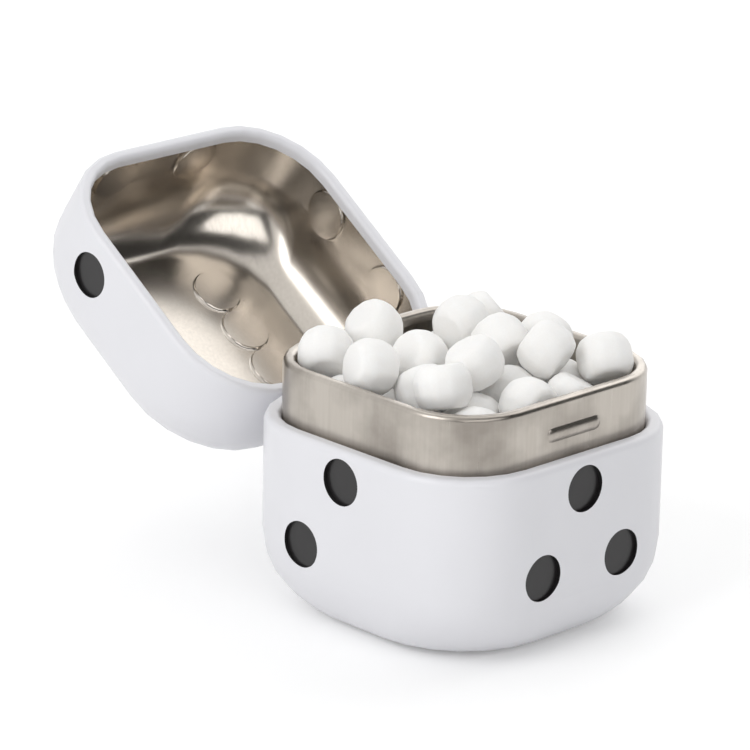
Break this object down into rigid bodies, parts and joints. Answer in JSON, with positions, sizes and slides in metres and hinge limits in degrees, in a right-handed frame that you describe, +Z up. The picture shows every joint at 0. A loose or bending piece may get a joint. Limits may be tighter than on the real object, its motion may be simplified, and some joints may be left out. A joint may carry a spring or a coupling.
{
  "type": "mint tin",
  "caption": "Hinged pocket mint tin shaped like a rounded die, white outside with sunk black pips, open on its rear hinge over a bare collar and a heap of round mints.",
  "frame": {"origin": "middle of the flat foot that the tin stands on", "axes": "+Z up, -Y the front where the tin opens, +Y the hinge side towards which the open lid reaches"},
  "size_m": [0.038, 0.075, 0.0441],
  "materials": {
    "white_paint": "white satin enamel baked on tinplate",
    "bare_tinplate": "bare rolled tinplate, satin with faint streaks",
    "steel_wire": "drawn wire, bright",
    "black_enamel": "charcoal enamel, semi-gloss",
    "pressed_mint": "chalky pressed sugar"
  },
  "bodies": {
    "base": {"base_pip_back_1": "black_enamel", "base_pip_front_1": "black_enamel", "base_pip_front_2": "black_enamel", "base_pip_front_3": "black_enamel", "base_pip_left_1": "black_enamel", "base_pip_left_2": "black_enamel", "base_pip_right_1": "black_enamel", "base_pip_right_2": "black_enamel", "base_shell": "white_paint", "collar": "bare_tinplate", "hinge_pin": "steel_wire", "mint_01": "pressed_mint", "mint_02": "pressed_mint", "mint_03": "pressed_mint", "mint_04": "pressed_mint", "mint_05": "pressed_mint", "mint_06": "pressed_mint", "mint_07": "pressed_mint", "mint_08": "pressed_mint", "mint_09": "pressed_mint", "mint_10": "pressed_mint", "mint_11": "pressed_mint", "mint_12": "pressed_mint", "mint_13": "pressed_mint", "mint_14": "pressed_mint", "mint_15": "pressed_mint", "mint_16": "pressed_mint", "mint_17": "pressed_mint", "mint_18": "pressed_mint", "mint_19": "pressed_mint", "mint_20": "pressed_mint", "mint_21": "pressed_mint", "mint_22": "pressed_mint", "mint_23": "pressed_mint", "mint_24": "pressed_mint", "mint_25": "pressed_mint", "mint_26": "pressed_mint", "mint_27": "pressed_mint", "mint_28": "pressed_mint", "mint_29": "pressed_mint", "mint_30": "pressed_mint", "mints_layer_1": "pressed_mint", "mints_layer_2": "pressed_mint", "mints_layer_3": "pressed_mint"},
    "lid": {"lid_pip_back_2": "black_enamel", "lid_pip_front_4": "black_enamel", "lid_pip_front_5": "black_enamel", "lid_pip_left_3": "black_enamel", "lid_pip_right_3": "black_enamel", "lid_pip_right_4": "black_enamel", "lid_pip_top_1": "black_enamel", "lid_pip_top_2": "black_enamel", "lid_pip_top_3": "black_enamel", "lid_pip_top_4": "black_enamel", "lid_pip_top_5": "black_enamel", "lid_pip_top_6": "black_enamel", "lid_shell": "white_paint"}
  },
  "joints": [
    {"name": "lid_hinge", "type": "hinge", "parent": "base", "child": "lid", "pos_m": [0, 0.01877, 0.02303], "axis": [1, 0, 0], "range_deg": [0, 145.3]}
  ]
}
